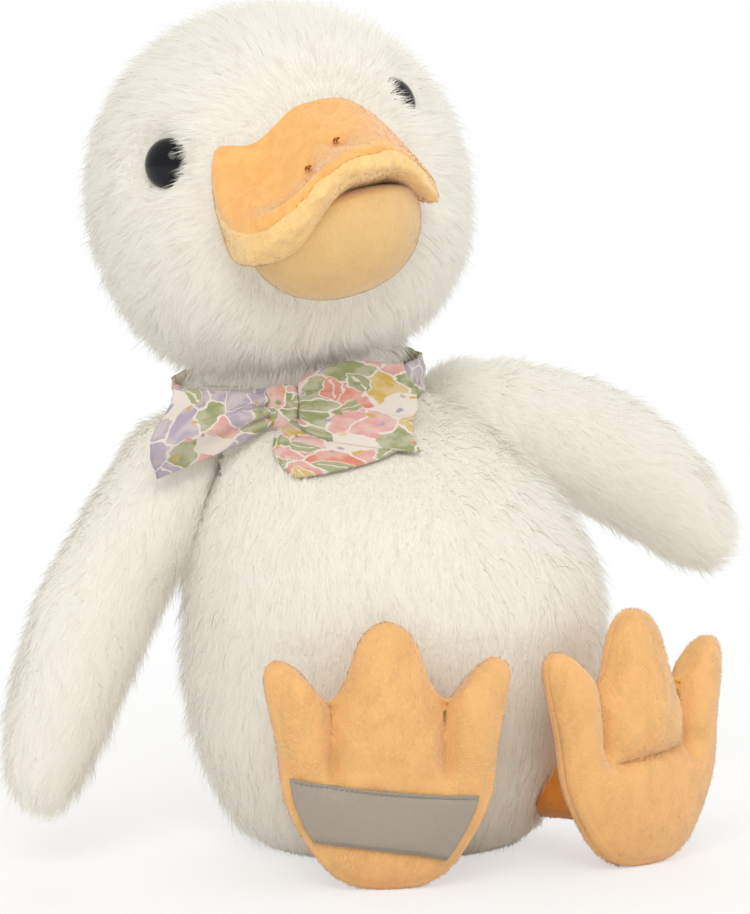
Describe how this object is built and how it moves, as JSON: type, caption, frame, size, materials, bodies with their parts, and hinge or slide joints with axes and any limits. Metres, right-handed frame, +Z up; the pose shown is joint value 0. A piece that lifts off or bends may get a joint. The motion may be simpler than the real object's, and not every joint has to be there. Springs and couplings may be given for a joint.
{
  "type": "plush duck",
  "caption": "Seated soft toy duck with a furry body, padded bill, floppy wings, webbed feet and a cotton neck bow, sewn in panels over soft filling.",
  "frame": {"origin": "the middle of the flat seat, on the floor", "axes": "+Z up, the duck faces -Y, its right side is at -X"},
  "size_m": [0.2659, 0.1607, 0.2638],
  "materials": {
    "plush": "matte",
    "bill_pile": "matte",
    "pale_pile": "matte",
    "foot_pile": "matte",
    "leg_cloth": "matte",
    "eye": "gloss",
    "washer": "satin",
    "thread": "matte",
    "cotton": "matte",
    "satin_band": "satin",
    "filling": "matte",
    "bead_bag": "matte"
  },
  "bodies": {
    "body": {"body_cover": "plush", "body_stuffing": "filling", "bean_bag": "bead_bag", "tail_cover": "plush", "tail_stuffing": "filling", "neck_ribbon": "cotton", "bow_knot": "cotton", "bow_tail_left": "cotton", "bow_tail_right": "cotton"},
    "neck": {"neck_stuffing": "filling"},
    "head": {"eye_left": "eye", "eye_right": "eye", "eye_washer_left": "washer", "eye_washer_right": "washer", "head_cover": "plush", "head_stuffing": "filling", "lower_bill": "pale_pile", "lower_bill_stuffing": "filling", "nostril_stitch_left": "thread", "nostril_stitch_right": "thread", "upper_bill": "bill_pile", "upper_bill_lining": "pale_pile", "upper_bill_stuffing": "filling"},
    "wing_right": {"wing_right_cover": "plush", "wing_right_stuffing": "filling"},
    "wing_left": {"wing_left_cover": "plush", "wing_left_stuffing": "filling"},
    "leg_right": {"leg_right_cover": "leg_cloth", "leg_right_stuffing": "filling"},
    "leg_left": {"leg_left_cover": "leg_cloth", "leg_left_stuffing": "filling"},
    "foot_right": {"foot_right_band": "satin_band", "foot_right_sole": "foot_pile", "foot_right_stuffing": "filling", "foot_right_upper": "foot_pile"},
    "foot_left": {"foot_left_sole": "foot_pile", "foot_left_stuffing": "filling", "foot_left_upper": "foot_pile"}
  },
  "joints": [
    {"name": "neck_turn", "type": "hinge", "parent": "body", "child": "neck", "pos_m": [-0.02, 0.034, 0.146], "axis": [0, 0, 1], "range_deg": [-25, 25], "stiffness_Nm_per_rad": 0.6},
    {"name": "head_nod", "type": "hinge", "parent": "neck", "child": "head", "pos_m": [-0.02, 0.034, 0.146], "axis": [1, 0, 0], "range_deg": [-6, 6], "stiffness_Nm_per_rad": 1.5},
    {"name": "wing_right_flap", "type": "hinge", "parent": "body", "child": "wing_right", "pos_m": [-0.06905, 0.01472, 0.12], "axis": [0, 1, 0], "range_deg": [0, 85], "stiffness_Nm_per_rad": 0.1},
    {"name": "wing_left_flap", "type": "hinge", "parent": "body", "child": "wing_left", "pos_m": [0.03668, 0.02487, 0.135], "axis": [0.225, -0.9744, 0], "range_deg": [-20, 40], "stiffness_Nm_per_rad": 0.1},
    {"name": "hip_right", "type": "hinge", "parent": "body", "child": "leg_right", "pos_m": [-0.0195, -0.04186, 0.0205], "axis": [1, 0, 0], "range_deg": [-3, 30], "stiffness_Nm_per_rad": 0.2},
    {"name": "hip_left", "type": "hinge", "parent": "body", "child": "leg_left", "pos_m": [0.0405, -0.03032, 0.0205], "axis": [1, 0, 0], "range_deg": [-3, 30], "stiffness_Nm_per_rad": 0.2},
    {"name": "ankle_right", "type": "hinge", "parent": "leg_right", "child": "foot_right", "pos_m": [-0.0295, -0.05709, 0.0215], "axis": [1, 0, 0], "range_deg": [-3, 14], "stiffness_Nm_per_rad": 0.2},
    {"name": "ankle_left", "type": "hinge", "parent": "leg_left", "child": "foot_left", "pos_m": [0.0505, -0.05709, 0.0215], "axis": [1, 0, 0], "range_deg": [-3, 14], "stiffness_Nm_per_rad": 0.2}
  ]
}
